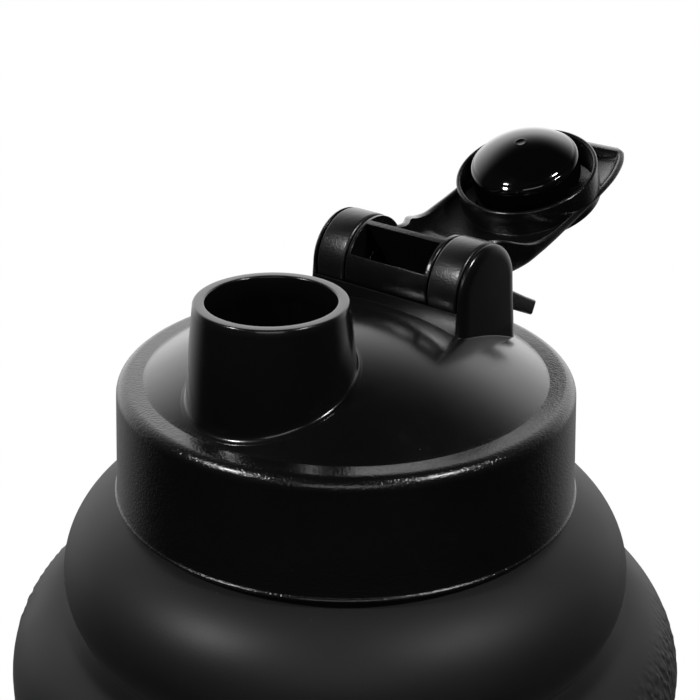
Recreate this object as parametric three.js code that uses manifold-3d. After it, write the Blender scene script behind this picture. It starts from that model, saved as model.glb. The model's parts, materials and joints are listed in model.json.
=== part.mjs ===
// A large protein shaker bottle: blow-moulded bottle, screw lid with a drinking spout, and a flip cap
// that shares its hinge with a finger loop. Millimetres, +Z up, origin at the middle of the base.
// -Y is the spout's side, and the hinge runs along X. The cap is shown open.
import * as THREE from 'three';
import { mergeVertices } from 'three/addons/utils/BufferGeometryUtils.js';
import Module from 'manifold-3d';

const wasm = await Module();
wasm.setup();

// ---- Bottle ----
const BOTTLE_HEIGHT = 227.4; // base to neck rim
const BODY_R = 72.5; // widest radius, at the shoulder and the heel
const WAIST_DEPTH = 5.5; // how far the waist is drawn in
const WALL = 1.8;
const HEEL_WIDE = 11.5; // heel's round, in plan
const FOOT_WIDTH = 10; // flat ring that the bottle stands on
const PUNT = 2.2; // rise of the base between the ring and the centre pad
const PAD_R = 9; // centre pad, level with the foot ring
const HEEL_HEIGHT = 13;
const SHOULDER_HEIGHT = 15.2;
const CREST_BAND = 1.5; // straight band between waist and shoulder
const BULGE_INSET = 5.8; // centre of the collar bulge inside the neck's wall; an ellipse in section
const BULGE_WIDE = 23.9;
const BULGE_TALL = 18.6;
const GROOVE_DROP = 6.9; // groove below the bulge's centre
const NECK_R = 42;
const NECK_WALL = 3;
const NECK_LIP = 0.8;

// ---- Screw thread, right-handed, one start ----
const PITCH = 6;
const THREAD_TURNS = 1.5;
const THREAD_HEIGHT = 1.9;
const RIDGE = { root: 2.4, crest: 1.2 };
const THREAD_DROP = 2.1; // lid ridge below the neck ridge, which leaves room between the flanks
const THREAD_START = 14.4; // lowest neck ridge below the neck rim
const CREST_CLEARANCE = 0.6; // lid ridge to neck wall
const ROOT_CLEARANCE = 1.3; // neck ridge to lid wall

// ---- Lid ----
const LID_WALL = 2.9;
const SKIRT_DROP = 24.7; // skirt below the flange's top
const SKIRT_FLARE = 1.1;
const FLANGE_THICK = 2.3;
const FLANGE_EDGE = 2.5; // round of the flange's edge
const FLANGE_WIDTH = 5.5; // flat from the dome to the edge
const DOME_HEIGHT = 11.8;
const DOME_THICK = 2.4;
const SKIRT_GAP = 0.7; // skirt to bulge
const GASKET_THICK = 1.7;
const GAP = 0.3; // between pieces that seat on each other
const COLLAR_CLEARANCE = 0.4; // collar in the neck
const COLLAR_WALL = 1.3;
const COLLAR_DEPTH = 9;

// ---- Spout ----
const SPOUT_Y = -23;
const SPOUT_TOP = 22.9; // rim above the flange
const SPOUT_R = 14.87; // outside, at the rim
const SPOUT_TAPER = 2.03; // wider by this at the base
const SPOUT_WALL = 2.27;
const SEAL_LAND = 4.5; // straight bore that the plug seals in
const RIM_ROUND = 0.7;

// ---- Hinge ----
const HINGE_Y = 22.2;
const HINGE_Z = 15.6; // above the flange
const AXLE_R = 2.5; // stub axle moulded on the inner face of each ear
const PIN_CLEARANCE = 0.3;
const BARREL_R = 9.7;
const BARREL_HALF = 10.5;
const SIDE_GAP = 0.3; // between barrel, loop hubs and ears
const HUB_R = 9.9;
const HUB_WIDTH = 7.2;
const SADDLE_CLEARANCE = 0.3;
const EAR_R = 9.75;
const EAR_FLARE = 0.55;
const EAR_THICK = 1.35;
const EAR_ROUND = [1, 2.4]; // across the ear's thickness, and inwards from its outline
const SADDLE_FRONT = 0.75; // wall in front of the hubs
const SADDLE_FLOOR = 1.8;
const SADDLE_TOP = 3.4; // front wall above the axis
const SADDLE_MIDDLE_TOP = 1.9;
const SADDLE_REAR = 9.5; // rear lip behind the axis and below it
const SADDLE_REAR_DROP = 9;

// ---- Flip cap ----
const OPEN_ANGLE = 158; // degrees from closed to fully open
const RING_OVERLAP = 1.5; // spout ring's reach below the spout's rim, cap closed
const RING_CLEARANCE = 0.43; // ring to spout rim
const RING_WALL = 1;
const HULL_WALL = 2;
const HULL_TOP_WALL = 1.8;
const CHEEK = 1.5;
const POCKET = { front: 0.3, back: -6.8, depth: 5.5 };
const ROOT_WALL = 1.6;
const PLUG_CLEARANCE = 0.2;
const PLUG_DEPTH = 9.3; // apex below the spout's rim, cap closed
const PLUG_SEAT = 4.1; // base above the rim
const PLUG_SHOULDER = { drop: 4.1, taper: 0.8 }; // edge of the dome below its apex, and its step in
const PLUG_SLOPE = { drop: 5.1, taper: 0.45 }; // lead-in between the shoulder and the sealing band
const BOSS_R = 5;
const BOSS_DEPTH = 3.3; // boss tip below the rim

// ---- Carry loop ----
const LOOP_DROOP = 27; // degrees below level
const LOOP_REACH = 24;
const LOOP_BAR = 5;
const LOOP_LEG = 4;
const LOOP_THICK = 3.4;
const LOOP_ROOT_THICK = 3.8;
const LOOP_CORNER = 1.2;

// ---- Mixing grid ----
const GRID_HEIGHT = 2.5;
const GRID_RIM = 3.5;
const GRID_BAR = 1.6;
const GRID_STEP = 9;

const ROUND = 40; // sides of a large round
const SMALL_ROUND = 24;

// ---- Sizes that follow ----
const FLANGE_Z = BOTTLE_HEIGHT + GAP + GASKET_THICK + GAP + FLANGE_THICK;
const FOOT_OUTER = BODY_R - HEEL_WIDE;
const FOOT_INNER = FOOT_OUTER - FOOT_WIDTH;
const BULGE_CENTRE_R = NECK_R - BULGE_INSET;
const NECK_BORE = NECK_R - NECK_WALL;
const LID_BORE = NECK_R + THREAD_HEIGHT + ROOT_CLEARANCE;
const FLANGE_R = LID_BORE + LID_WALL - SKIRT_FLARE;
const SKIRT_R = LID_BORE + LID_WALL;
const DOME_R = FLANGE_R - FLANGE_WIDTH;
const DOME_SPHERE = (DOME_R ** 2 + DOME_HEIGHT ** 2) / (2 * DOME_HEIGHT);
const DOME_CENTRE = DOME_HEIGHT - DOME_SPHERE;
const COLLAR_R = NECK_BORE - COLLAR_CLEARANCE;
const COLLAR_BORE = COLLAR_R - COLLAR_WALL;
const SPOUT_BASE_R = SPOUT_R + SPOUT_TAPER;
const SPOUT_BORE = SPOUT_R - SPOUT_WALL;
const SADDLE_R = Math.max(HUB_R, BARREL_R) + SADDLE_CLEARANCE;
const HUB_IN = BARREL_HALF + SIDE_GAP;
const HUB_OUT = HUB_IN + HUB_WIDTH;
const EAR_IN = HUB_OUT + SIDE_GAP;
const EAR_OUT = EAR_IN + EAR_THICK;
const SPOUT_S = HINGE_Y - SPOUT_Y; // spout axis ahead of the hinge
const RING_R = SPOUT_R + RING_CLEARANCE;
const RIM_N = SPOUT_TOP - HINGE_Z; // spout's rim above the axis

// ---- Tools ----
const degrees = THREE.MathUtils.degToRad;

function solid(geometry) {
  const bare = new THREE.BufferGeometry();
  bare.setAttribute('position', geometry.getAttribute('position'));
  if (geometry.index) bare.setIndex(geometry.index);
  const welded = mergeVertices(bare, 1e-4);
  const corners = welded.index.array;
  const places = welded.attributes.position.array;
  const faces = [];
  let volume = 0;
  for (let i = 0; i < corners.length; i += 3) {
    const [a, b, c] = [corners[i], corners[i + 1], corners[i + 2]];
    if (a === b || b === c || c === a) continue;
    faces.push([a, b, c]);
    const [p, q, r] = [a, b, c].map((v) => new THREE.Vector3().fromArray(places, 3 * v));
    volume += p.dot(q.cross(r));
  }
  if (volume < 0) faces.forEach((face) => face.reverse());
  const triVerts = Uint32Array.from(faces.flat());
  return new wasm.Manifold(new wasm.Mesh({ numProp: 3, vertProperties: places, triVerts }));
}

function meshGeometry(manifold) {
  const mesh = manifold.getMesh();
  const geometry = new THREE.BufferGeometry();
  geometry.setAttribute('position', new THREE.BufferAttribute(mesh.vertProperties, mesh.numProp));
  geometry.setIndex(new THREE.BufferAttribute(mesh.triVerts, 1));
  geometry.computeVertexNormals();
  return geometry;
}

// A [radius, height] outline turned about the Z axis. Off the axis it is closed on itself.
function revolve(outline, sides = ROUND) {
  const points = outline.map(([r, z]) => new THREE.Vector2(Math.max(r, 0), z));
  const first = points[0];
  const last = points[points.length - 1];
  if (first.x > 0 || last.x > 0) points.push(first.clone());
  return solid(new THREE.LatheGeometry(points, sides).rotateX(Math.PI / 2));
}

// An [x, y] outline raised from one height to another.
function raise(outline, low, high) {
  const shape = new THREE.Shape(outline.map(([x, y]) => new THREE.Vector2(x, y)));
  const geometry = new THREE.ExtrudeGeometry(shape, { depth: high - low, bevelEnabled: false });
  return solid(geometry.translate(0, 0, low));
}

// A [y, z] outline drawn out along X. A round eases the edge at the far end.
function drawOut(outline, from, to, [across, inward] = [0, 0]) {
  const shape = new THREE.Shape(outline.map(([y, z]) => new THREE.Vector2(y, z)));
  const options = { depth: to - from - across, bevelEnabled: across > 0, bevelThickness: across };
  Object.assign(options, { bevelSize: inward, bevelOffset: -inward, bevelSegments: 3 });
  const geometry = new THREE.ExtrudeGeometry(shape, options);
  const places = geometry.getAttribute('position');
  for (let i = 0; i < places.count; i += 1) {
    places.setXYZ(i, places.getZ(i) + from, places.getX(i), places.getY(i));
  }
  return solid(geometry);
}

function arc([x, y], [wide, tall], fromDegrees, toDegrees, steps) {
  return Array.from({ length: steps + 1 }, (_, i) => {
    const angle = degrees(fromDegrees + ((toDegrees - fromDegrees) * i) / steps);
    return [x + wide * Math.cos(angle), y + tall * Math.sin(angle)];
  });
}

// A round bar along X about the hinge axis.
function axisBar(radius, from, to, sides = SMALL_ROUND) {
  return solid(new THREE.CylinderGeometry(radius, radius, to - from, sides)
    .rotateZ(Math.PI / 2).translate((from + to) / 2, 0, 0));
}

function box([x0, x1], [y0, y1], [z0, z1]) {
  return raise([[x0, y0], [x1, y0], [x1, y1], [x0, y1]], z0, z1);
}

function mirrored(manifold) {
  return manifold.add(manifold.mirror([1, 0, 0]));
}

// A ridge wound on a helix: straight at first, then bent round the axis.
function threadRidge(root, crest, lowest) {
  const half = [RIDGE.root / 2, RIDGE.crest / 2];
  const section = [[root, -half[0]], [crest, -half[1]], [crest, half[1]], [root, half[0]]];
  const shape = new THREE.Shape(section.map(([r, z]) => new THREE.Vector2(r, z)));
  const steps = Math.round(THREAD_TURNS * ROUND);
  const geometry = new THREE.ExtrudeGeometry(shape, { depth: THREAD_TURNS, steps, bevelEnabled: false });
  const places = geometry.getAttribute('position');
  for (let i = 0; i < places.count; i += 1) {
    const turn = places.getZ(i);
    const angle = 2 * Math.PI * turn;
    const r = places.getX(i);
    places.setXYZ(i, r * Math.cos(angle), r * Math.sin(angle), lowest + PITCH * turn + places.getY(i));
  }
  return solid(geometry);
}

// ---- Bottle body ----
// The bulge clears the skirt's inner edge, so its height follows from the lid.
const skirtShare = Math.max(0, LID_BORE - BULGE_CENTRE_R) / BULGE_WIDE;
const bulgeZ = FLANGE_Z - SKIRT_DROP - SKIRT_GAP - BULGE_TALL * Math.sqrt(1 - skirtShare ** 2);
const grooveZ = bulgeZ - GROOVE_DROP;
const grooveAngle = THREE.MathUtils.radToDeg(Math.asin(GROOVE_DROP / BULGE_TALL));
const grooveR = BULGE_CENTRE_R + BULGE_WIDE * Math.cos(degrees(grooveAngle));
const shoulderR = grooveR + 2.1;
const shoulderZ = grooveZ - 1.3 - SHOULDER_HEIGHT;

function waist(inset) {
  const low = HEEL_HEIGHT;
  const high = shoulderZ - CREST_BAND;
  return Array.from({ length: 9 }, (_, i) => {
    const z = low + ((high - low) * i) / 8;
    return [BODY_R - inset - WAIST_DEPTH * Math.sin((Math.PI * i) / 8) ** 2, z];
  });
}

// Outside or inside of the wall, from the centre of the base up to the neck.
function bodyOutline(inset, neck) {
  const heel = [HEEL_WIDE - inset, HEEL_HEIGHT - inset];
  const bulge = [BULGE_WIDE - inset, BULGE_TALL - inset];
  const neckAngle = THREE.MathUtils.radToDeg(Math.acos((neck - BULGE_CENTRE_R) / bulge[0]));
  return [
    [0, inset],
    [PAD_R + inset / 2, inset],
    [PAD_R + PUNT + inset / 2, PUNT + inset],
    [FOOT_INNER - PUNT, PUNT + inset],
    [FOOT_INNER, inset],
    ...arc([FOOT_OUTER, HEEL_HEIGHT], heel, -90, -10, 4),
    ...waist(inset),
    ...arc([shoulderR, shoulderZ], [BODY_R - shoulderR - inset, SHOULDER_HEIGHT - inset], 0, 90, 5),
    ...arc([BULGE_CENTRE_R, bulgeZ], bulge, -grooveAngle - inset * 2, neckAngle, 8),
  ];
}

function bottleBody() {
  const rim = BOTTLE_HEIGHT;
  const neck = [
    [NECK_R, rim - NECK_LIP],
    [NECK_R - NECK_LIP, rim],
    [NECK_BORE + NECK_LIP, rim],
    [NECK_BORE, rim - NECK_LIP],
  ];
  const walls = [...bodyOutline(0, NECK_R), ...neck, ...bodyOutline(WALL, NECK_BORE).reverse()];
  return revolve(walls).add(threadRidge(NECK_R - 0.4, NECK_R + THREAD_HEIGHT, rim - THREAD_START));
}

// ---- Lid: heights from here on are measured from the top of its flange ----
const skirtBottom = -SKIRT_DROP;
const domeInside = DOME_SPHERE - DOME_THICK;
const domeEdge = THREE.MathUtils.radToDeg(Math.acos(DOME_R / DOME_SPHERE));
const collarEdge = THREE.MathUtils.radToDeg(Math.acos(COLLAR_BORE / domeInside));

function domeArc(radius, fromDegrees, toDegrees) {
  return arc([0, DOME_CENTRE], [radius, radius], fromDegrees, toDegrees, 6);
}

function lidShell() {
  const edge = [FLANGE_R - FLANGE_EDGE, -FLANGE_EDGE];
  return revolve([
    ...domeArc(DOME_SPHERE, 90, domeEdge),
    ...arc(edge, [FLANGE_EDGE, FLANGE_EDGE], 90, 0, 4),
    [SKIRT_R, skirtBottom],
    [LID_BORE + GAP, skirtBottom],
    [LID_BORE, skirtBottom + GAP],
    [LID_BORE, -FLANGE_THICK],
    [COLLAR_R, -FLANGE_THICK],
    [COLLAR_R, -COLLAR_DEPTH],
    [COLLAR_BORE, -COLLAR_DEPTH],
    ...domeArc(domeInside, collarEdge, 90),
  ]);
}

function underDome() {
  return revolve([...domeArc(domeInside, 90, collarEdge), [COLLAR_BORE, -COLLAR_DEPTH], [0, -COLLAR_DEPTH]]);
}

function spoutOutside() {
  const waistR = SPOUT_R + 0.62 * (SPOUT_BASE_R - SPOUT_R);
  return revolve([
    [0, 0],
    [SPOUT_BASE_R, 0],
    [waistR, SPOUT_TOP * 0.45],
    ...arc([SPOUT_R - RIM_ROUND, SPOUT_TOP - RIM_ROUND], [RIM_ROUND, RIM_ROUND], 0, 90, 3),
    [0, SPOUT_TOP],
  ]).translate([0, SPOUT_Y, 0]);
}

function spoutInside() {
  const landEnd = SPOUT_TOP - SEAL_LAND;
  return revolve([
    [0, -DOME_THICK],
    [SPOUT_BASE_R - SPOUT_WALL, -DOME_THICK],
    [SPOUT_BASE_R - SPOUT_WALL, 0],
    [SPOUT_BORE + 0.6, landEnd - 0.6],
    [SPOUT_BORE, landEnd],
    [SPOUT_BORE, SPOUT_TOP - RIM_ROUND],
    [SPOUT_BORE + RIM_ROUND, SPOUT_TOP + 0.1],
    [0, SPOUT_TOP + 0.1],
  ]).translate([0, SPOUT_Y, 0]);
}

const earFoot = -HINGE_Z + 0.5;
const saddleFace = -SADDLE_R - SADDLE_FRONT;
const saddleEnd = EAR_IN + EAR_THICK / 2; // half way into the ears

// These four are placed about the hinge axis.
function ear() {
  const outline = [
    [-EAR_R - EAR_FLARE, earFoot],
    [EAR_R + EAR_FLARE, earFoot],
    ...arc([0, 0], [EAR_R, EAR_R], 0, 180, 14),
  ];
  const inner = EAR_IN - 2 * EAR_ROUND[0];
  const slab = drawOut(outline, inner, EAR_OUT, EAR_ROUND);
  return slab.subtract(box([inner - 9, EAR_IN], [-30, 30], [-30, 30]));
}

function saddle() {
  const outline = [
    [saddleFace, earFoot + 2],
    [SADDLE_REAR, earFoot + 2],
    [SADDLE_REAR, -SADDLE_REAR_DROP],
    [saddleFace + 3, -SADDLE_REAR_DROP],
    [saddleFace + 3, SADDLE_TOP],
    [saddleFace, SADDLE_TOP],
  ];
  const notch = [[-HUB_IN + GAP / 2, HUB_IN - GAP / 2], [saddleFace - 1, 0], [SADDLE_MIDDLE_TOP, SADDLE_TOP + 1]];
  return drawOut(outline, -saddleEnd, saddleEnd).subtract(box(...notch));
}

// Carries the wall on under the saddle's bore, where the bore comes close to the dome's underside.
function saddleFloor() {
  const floor = axisBar(SADDLE_R + SADDLE_FLOOR, -saddleEnd, saddleEnd);
  const rear = box([-30, 30], [0, 30], [-SADDLE_REAR_DROP, 30]);
  const front = box([-30, 30], [-30, 1], [-SADDLE_R / 2, 30]);
  return floor.subtract(rear).subtract(front);
}

function stubAxle() {
  return axisBar(AXLE_R, BARREL_HALF - CHEEK + GAP, EAR_IN + EAR_THICK / 2);
}

function screwLid() {
  const toHinge = (piece) => piece.translate([0, HINGE_Y, HINGE_Z]);
  const outside = spoutOutside().add(toHinge(mirrored(ear()))).add(toHinge(saddle()));
  const cored = lidShell().add(outside.subtract(underDome())).add(toHinge(saddleFloor()));
  const bored = cored.subtract(spoutInside()).subtract(toHinge(axisBar(SADDLE_R, -EAR_IN, EAR_IN, ROUND)));
  const lowest = GASKET_THICK + 2 * GAP + FLANGE_THICK + THREAD_START + THREAD_DROP;
  const ridge = threadRidge(LID_BORE + 0.4, NECK_R + CREST_CLEARANCE, -lowest);
  return bored.add(toHinge(mirrored(stubAxle()))).add(ridge);
}

function lidGasket() {
  const top = -FLANGE_THICK - GAP;
  const [inner, outer] = [COLLAR_R + GAP, LID_BORE - 2 * GAP];
  return revolve([[inner, top - GASKET_THICK], [outer, top - GASKET_THICK], [outer, top], [inner, top]]);
}

function mixingGrid() {
  const outer = COLLAR_BORE - GAP;
  const low = -COLLAR_DEPTH + GAP;
  const high = low + GRID_HEIGHT;
  const disc = revolve([[0, low], [outer, low], [outer, high], [0, high]]);
  const inside = outer - GRID_RIM;
  const rim = revolve([[inside, low], [outer, low], [outer, high], [inside, high]]);
  const lines = Math.floor(inside / GRID_STEP);
  const places = Array.from({ length: 2 * lines + 1 }, (_, i) => (i - lines) * GRID_STEP);
  const half = GRID_BAR / 2;
  const bars = places.map((y) => box([-outer, outer], [y - half, y + half], [low, high - 0.5]));
  const cross = places.map((x) => box([x - half, x + half], [-outer, outer], [low, high - 0.5]));
  return [...bars, ...cross].reduce((net, bar) => net.add(bar)).intersect(disc).add(rim);
}

// ---- Flip cap: x across, -y ahead of the axis towards the spout, z above the axis, all with the cap closed ----
// Distance ahead of the axis, half width, lower edge, top, and squareness of the section.
const HULL_STATIONS = [
  [0, BARREL_HALF, 2.6, BARREL_R - 0.1, 8],
  [SADDLE_R + 1.4, BARREL_HALF, 2.6, BARREL_R + 0.2, 8],
  [SADDLE_R + 2.8, BARREL_HALF + 0.5, 1, BARREL_R + 0.6, 8],
  [SADDLE_R + 5.8, BARREL_HALF + 1.7, 0.5, BARREL_R + 1.4, 6],
  [SPOUT_S - 24.2, RING_R - 0.5, RIM_N - 2.5, RIM_N + 4.9, 4],
  [SPOUT_S - 20.2, RING_R + 0.5, RIM_N - 0.3, RIM_N + 5.6, 3.2],
  [SPOUT_S - 15.2, RING_R + 1.1, RIM_N + 1.1, RIM_N + 6.5, 2.6],
  [SPOUT_S - 10.2, RING_R + 1.4, RIM_N + 2.1, RIM_N + 7.4, 2.2],
  [SPOUT_S - 5.2, RING_R + 1.4, RIM_N + 2.9, RIM_N + 8.5, 1.9],
  [SPOUT_S, RING_R + 1.5, RIM_N + 3.6, RIM_N + 9.3, 1.7],
  [SPOUT_S + 6.8, RING_R + 0.9, RIM_N + 4.5, RIM_N + 9.9, 1.7],
  [SPOUT_S + 12.8, RING_R - 0.5, RIM_N + 5.3, RIM_N + 10.2, 1.8],
  [SPOUT_S + 18.8, RING_R - 3.5, RIM_N + 6, RIM_N + 10.2, 2.2],
  [SPOUT_S + 24.3, RING_R - 7.8, RIM_N + 6.5, RIM_N + 10.1, 3],
];

function hullAt(s) {
  const next = Math.max(1, HULL_STATIONS.findIndex(([place]) => place >= s));
  const [a, b] = [HULL_STATIONS[next - 1], HULL_STATIONS[next]];
  const share = THREE.MathUtils.clamp((s - a[0]) / (b[0] - a[0]), 0, 1);
  return a.map((value, i) => THREE.MathUtils.lerp(value, b[i], share));
}

// The hull's outer form. An inset gives the hollow under it, and a drop carries the sides down.
function hull(from, to, inset, topInset, drop) {
  const arch = arc([0, 0], [1, 1], 0, 180, 16);
  const section = drop > 0 ? [[-1, -1], [1, -1], ...arch] : arch;
  const shape = new THREE.Shape(section.map(([x, y]) => new THREE.Vector2(x, y)));
  const options = { depth: to - from, steps: 26, bevelEnabled: false };
  const geometry = new THREE.ExtrudeGeometry(shape, options);
  const places = geometry.getAttribute('position');
  for (let i = 0; i < places.count; i += 1) {
    const s = from + places.getZ(i);
    const [x, y] = [places.getX(i), places.getY(i)];
    const [, half, low, top, square] = hullAt(s);
    const width = half - inset;
    const height = top - topInset - low;
    const angle = Math.atan2(y, x);
    const across = y < -0.5 ? x : Math.sign(x) * Math.abs(Math.cos(angle)) ** (2 / square);
    const up = y < -0.5 ? -drop / height : Math.abs(Math.sin(angle)) ** (2 / square);
    places.setXYZ(i, width * across, -s, low + height * up);
  }
  return solid(geometry);
}

const hullEnd = HULL_STATIONS[HULL_STATIONS.length - 1][0];
const pocketHalf = BARREL_HALF - CHEEK;

function flipCap() {
  const rise = 20;
  const outside = hull(0, hullEnd, 0, 0, 0);
  const hollow = hull(SADDLE_R + ROOT_WALL, hullEnd - HULL_WALL, HULL_WALL, HULL_TOP_WALL, rise);
  const within = hull(SADDLE_R, hullEnd, HULL_WALL / 4, HULL_TOP_WALL / 4, rise);
  const ringOuter = RING_R + RING_WALL;
  const ringRim = RIM_N - RING_OVERLAP;
  const bossTip = RIM_N - BOSS_DEPTH;
  const ring = revolve([[RING_R, ringRim], [ringOuter, ringRim], [ringOuter, rise], [RING_R, rise]]);
  const boss = revolve([[0, bossTip], [BOSS_R, bossTip], [BOSS_R, rise], [0, rise]], SMALL_ROUND);
  const fittings = ring.add(boss).translate([0, -SPOUT_S, 0]).intersect(within);
  const barrel = axisBar(BARREL_R, -BARREL_HALF, BARREL_HALF, ROUND);
  const pocketY = [-POCKET.front, -POCKET.back];
  const pocket = box([-pocketHalf, pocketHalf], pocketY, [-BARREL_R - 1, POCKET.depth]);
  const bore = mirrored(axisBar(AXLE_R + PIN_CLEARANCE, pocketHalf, BARREL_HALF + 1));
  return outside.subtract(hollow).add(fittings).add(barrel).subtract(pocket).subtract(bore);
}

function spoutPlug() {
  const radius = SPOUT_BORE - PLUG_CLEARANCE;
  const socket = BOSS_R + GAP;
  const edge = radius - PLUG_SHOULDER.taper;
  const sphere = (edge ** 2 + PLUG_SHOULDER.drop ** 2) / (2 * PLUG_SHOULDER.drop);
  const sweep = THREE.MathUtils.radToDeg(Math.asin(edge / sphere));
  const apex = RIM_N - PLUG_DEPTH;
  const base = RIM_N + PLUG_SEAT;
  const socketEnd = RIM_N - BOSS_DEPTH - GAP;
  return revolve([
    [0, apex],
    ...arc([0, apex + sphere], [sphere, sphere], -84, sweep - 90, 6),
    [radius - PLUG_SLOPE.taper, apex + PLUG_SLOPE.drop],
    [radius, RIM_N - RIM_ROUND],
    [radius, base],
    [socket, base],
    [socket, socketEnd],
    [0, socketEnd],
  ]).translate([0, -SPOUT_S, 0]);
}

// ---- Carry loop: y is outward from the axis, in the loop's own plane ----
function carryLoop() {
  const inner = LOOP_REACH - LOOP_BAR;
  const corner = [HUB_OUT - LOOP_CORNER, LOOP_REACH - LOOP_CORNER];
  const root = HUB_R / 2;
  const legIn = HUB_OUT - LOOP_LEG;
  const half = [
    [0, LOOP_REACH],
    ...arc(corner, [LOOP_CORNER, LOOP_CORNER], 90, 0, 4),
    [HUB_OUT, root],
    [legIn, root],
    [legIn, inner],
    [0, inner],
  ];
  const frame = mirrored(raise(half, -LOOP_THICK / 2, LOOP_THICK / 2));
  const [thin, thick] = [LOOP_THICK / 2, LOOP_ROOT_THICK / 2];
  const full = LOOP_REACH * 0.6;
  const wedge = [[root, -thick], [full, -thick], [inner, -thin], [inner, thin], [full, thick], [root, thick]];
  const hub = axisBar(HUB_R, HUB_IN, HUB_OUT, ROUND).add(drawOut(wedge, legIn, HUB_OUT));
  const bore = axisBar(AXLE_R + PIN_CLEARANCE, -EAR_OUT, EAR_OUT);
  return frame.add(mirrored(hub)).subtract(bore);
}

// ---- Materials and assembly ----
function finish(color, roughness) {
  return new THREE.MeshStandardMaterial({ color, roughness, metalness: 0 });
}

function piece(name, manifold, material) {
  const mesh = new THREE.Mesh(meshGeometry(manifold), material);
  mesh.name = name;
  return mesh;
}

const soft = finish(0x232323, 0.75);
const grained = finish(0x151414, 0.42);
const glossy = finish(0x0b0a0a, 0.12);
const rubber = finish(0x2a2a2a, 0.8);

const shaker = new THREE.Group();
shaker.add(piece('bottle_body', bottleBody(), soft));

const lid = new THREE.Group();
lid.position.z = FLANGE_Z;
lid.add(piece('lid_shell', screwLid(), grained));
lid.add(piece('lid_gasket', lidGasket(), rubber));
lid.add(piece('mixing_grid', mixingGrid(), grained));
shaker.add(lid);

const openCap = new THREE.Group();
openCap.position.set(0, HINGE_Y, HINGE_Z);
openCap.rotation.x = degrees(-OPEN_ANGLE);
openCap.add(piece('flip_cap', flipCap(), grained));
openCap.add(piece('spout_plug', spoutPlug(), glossy));
lid.add(openCap);

const droopingLoop = new THREE.Group();
droopingLoop.position.set(0, HINGE_Y, HINGE_Z);
droopingLoop.rotation.x = degrees(-LOOP_DROOP);
droopingLoop.add(piece('carry_loop', carryLoop(), grained));
lid.add(droopingLoop);

export default shaker;
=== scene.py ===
"""A large protein shaker bottle: blown bottle, screw lid with a drinking spout, flip cap and finger loop.

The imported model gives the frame, the hinge and the sizes that the pieces start from.
"""

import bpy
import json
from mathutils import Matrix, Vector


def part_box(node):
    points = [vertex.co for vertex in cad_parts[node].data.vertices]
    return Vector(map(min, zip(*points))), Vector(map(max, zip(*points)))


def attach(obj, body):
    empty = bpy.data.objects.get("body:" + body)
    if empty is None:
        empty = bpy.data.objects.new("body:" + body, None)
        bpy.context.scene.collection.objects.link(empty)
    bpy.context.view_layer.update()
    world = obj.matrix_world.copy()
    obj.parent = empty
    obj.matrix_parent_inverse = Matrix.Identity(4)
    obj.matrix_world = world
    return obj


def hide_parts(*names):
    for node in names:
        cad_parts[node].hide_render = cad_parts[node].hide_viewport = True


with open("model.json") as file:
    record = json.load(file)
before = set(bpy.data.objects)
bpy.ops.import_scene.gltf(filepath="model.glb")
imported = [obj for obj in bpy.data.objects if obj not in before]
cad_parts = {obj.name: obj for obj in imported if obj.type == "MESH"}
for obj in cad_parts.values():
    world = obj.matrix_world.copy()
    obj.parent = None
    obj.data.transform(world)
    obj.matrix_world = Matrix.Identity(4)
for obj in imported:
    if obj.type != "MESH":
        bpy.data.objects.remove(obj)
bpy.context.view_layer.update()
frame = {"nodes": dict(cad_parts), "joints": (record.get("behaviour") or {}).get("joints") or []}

import json
import math
from types import SimpleNamespace

import bmesh
import bpy
from bpy.props import FloatProperty, FloatVectorProperty, PointerProperty
from bpy.types import Operator, Panel, PropertyGroup
from mathutils import Matrix, Vector

bl_info = {
    "name": "Shaker Bottle",
    "version": (1, 0, 0),
    "blender": (4, 5, 0),
    "location": "3D View > Sidebar > Shaker",
    "description": "Builds a shaker bottle with a screw lid, a flip cap and a finger loop",
    "category": "Add Mesh",
}

MM = 0.001

BODY_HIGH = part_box("bottle_body")[1]
LID_LOW, LID_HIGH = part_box("lid_shell")
CAP_JOINT = next(joint for joint in frame["joints"] if joint["name"] == "cap_hinge")
HINGE = Vector(CAP_JOINT["pos_m"])
OPEN = math.radians(CAP_JOINT["range_deg"][1])

# Shared sizes in millimetres
SKIRT_BORE = 45.2  # inner radius of the lid's skirt, which the collar bulge reaches
NECK_WALL = 3.0
THREAD_LOW = 14.4  # lower end of the thread below the neck's rim
LID_TOP_WALL = 2.4
BORE_PLAY = 0.3  # between an axle and its bore, and between the hubs and the trough

# Where the camera stands round the lid, in degrees, and what it looks at, in metres
CAMERA_BEARING = 38.18
CAMERA_RISE = 23.85
CAMERA_ROLL = 0.32
CAMERA_AIM = Vector((0, 0, 0.23667))


# ---- Sizes and colours that can be changed ----
def length(name, description, default):
    return FloatProperty(
        name=name, description=description, default=default, min=0.0, unit="LENGTH", precision=5
    )


def colour(name, description, default):
    return FloatVectorProperty(
        name=name, description=description, default=default, subtype="COLOR", size=3, min=0.0, max=1.0
    )


def share(name, description, default):
    return FloatProperty(
        name=name, description=description, default=default, min=0.0, max=1.0, subtype="FACTOR"
    )


def power(name, description, default):
    return FloatProperty(name=name, description=description, default=default, unit="POWER")


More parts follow.
